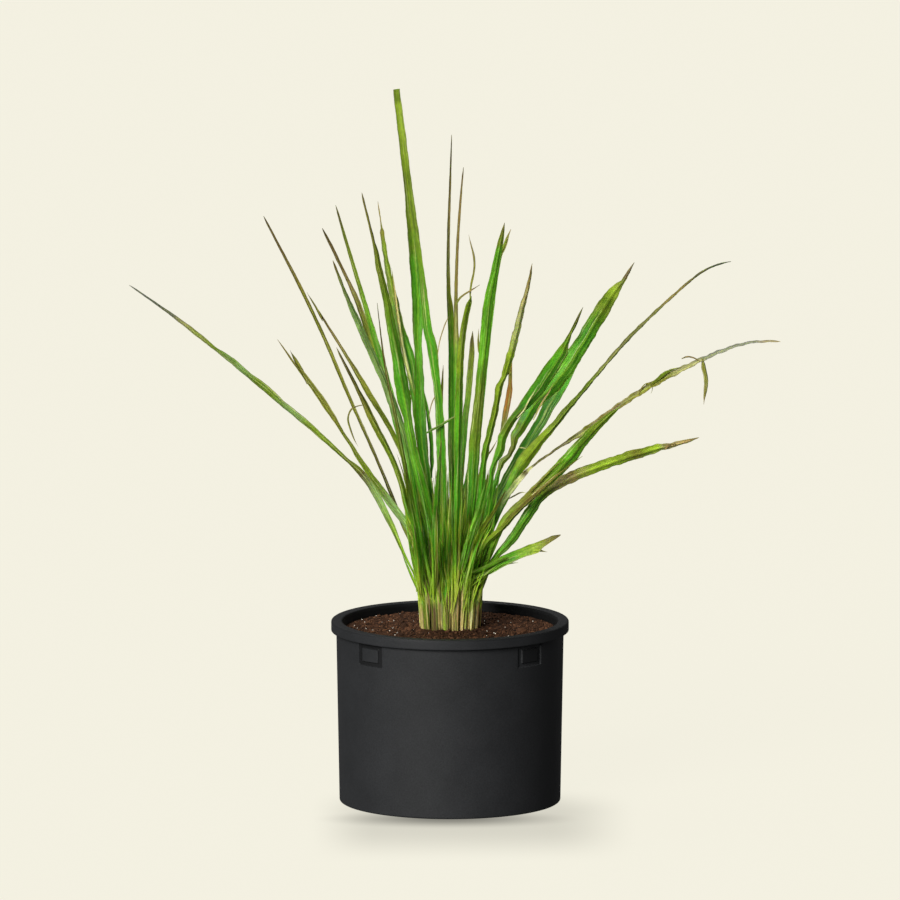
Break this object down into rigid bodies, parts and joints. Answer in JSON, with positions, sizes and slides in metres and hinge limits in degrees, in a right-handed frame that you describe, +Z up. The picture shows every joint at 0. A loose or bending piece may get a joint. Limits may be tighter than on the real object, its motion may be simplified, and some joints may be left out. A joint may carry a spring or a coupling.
{
  "type": "potted ornamental grass clump",
  "caption": "Clump of tall arching ornamental grass with straw-coloured stem bases, growing in soil in a round charcoal nursery pot with a banded rim.",
  "frame": {"origin": "centre of the pot's flat underside, on the surface it stands on", "axes": "+Z up along the pot's axis; -Y is the front; +X to the right of the front view, along the widest spread of the leaves"},
  "size_m": [0.7642, 0.5403, 0.8416],
  "materials": {
    "pot_plastic": "matte",
    "soil": "matte",
    "straw_stem": "matte",
    "green_leaf": "satin"
  },
  "bodies": {
    "root": {"pot": "pot_plastic", "soil": "soil", "stem_01": "straw_stem", "stem_02": "straw_stem", "stem_03": "straw_stem", "stem_04": "straw_stem", "stem_05": "straw_stem", "stem_06": "straw_stem", "stem_07": "straw_stem", "stem_08": "straw_stem", "stem_09": "straw_stem", "stem_10": "straw_stem", "stem_11": "straw_stem", "stem_12": "straw_stem", "stem_13": "straw_stem", "stem_14": "straw_stem", "stem_15": "straw_stem", "stem_16": "straw_stem", "stem_17": "straw_stem", "stem_18": "straw_stem", "leaf_01": "green_leaf", "leaf_02": "green_leaf", "leaf_03": "green_leaf", "leaf_04": "green_leaf", "leaf_05": "green_leaf", "leaf_06": "green_leaf", "leaf_07": "green_leaf", "leaf_08": "green_leaf", "leaf_09": "green_leaf", "leaf_10": "green_leaf", "leaf_11": "green_leaf", "leaf_12": "green_leaf", "leaf_13": "green_leaf", "leaf_14": "green_leaf", "leaf_15": "green_leaf", "leaf_16": "green_leaf", "leaf_17": "green_leaf", "leaf_18": "green_leaf", "leaf_19": "green_leaf", "leaf_20": "green_leaf", "leaf_21": "green_leaf", "leaf_22": "green_leaf", "leaf_23": "green_leaf", "leaf_24": "green_leaf", "leaf_25": "green_leaf", "leaf_26": "green_leaf", "leaf_27": "green_leaf", "leaf_28": "green_leaf", "leaf_29": "green_leaf", "leaf_30": "green_leaf", "leaf_31": "green_leaf", "leaf_32": "green_leaf", "leaf_33": "green_leaf", "leaf_34": "green_leaf", "leaf_35": "green_leaf", "leaf_36": "green_leaf", "leaf_37": "green_leaf", "leaf_38": "green_leaf", "leaf_39": "green_leaf", "leaf_40": "green_leaf"}
  },
  "joints": []
}
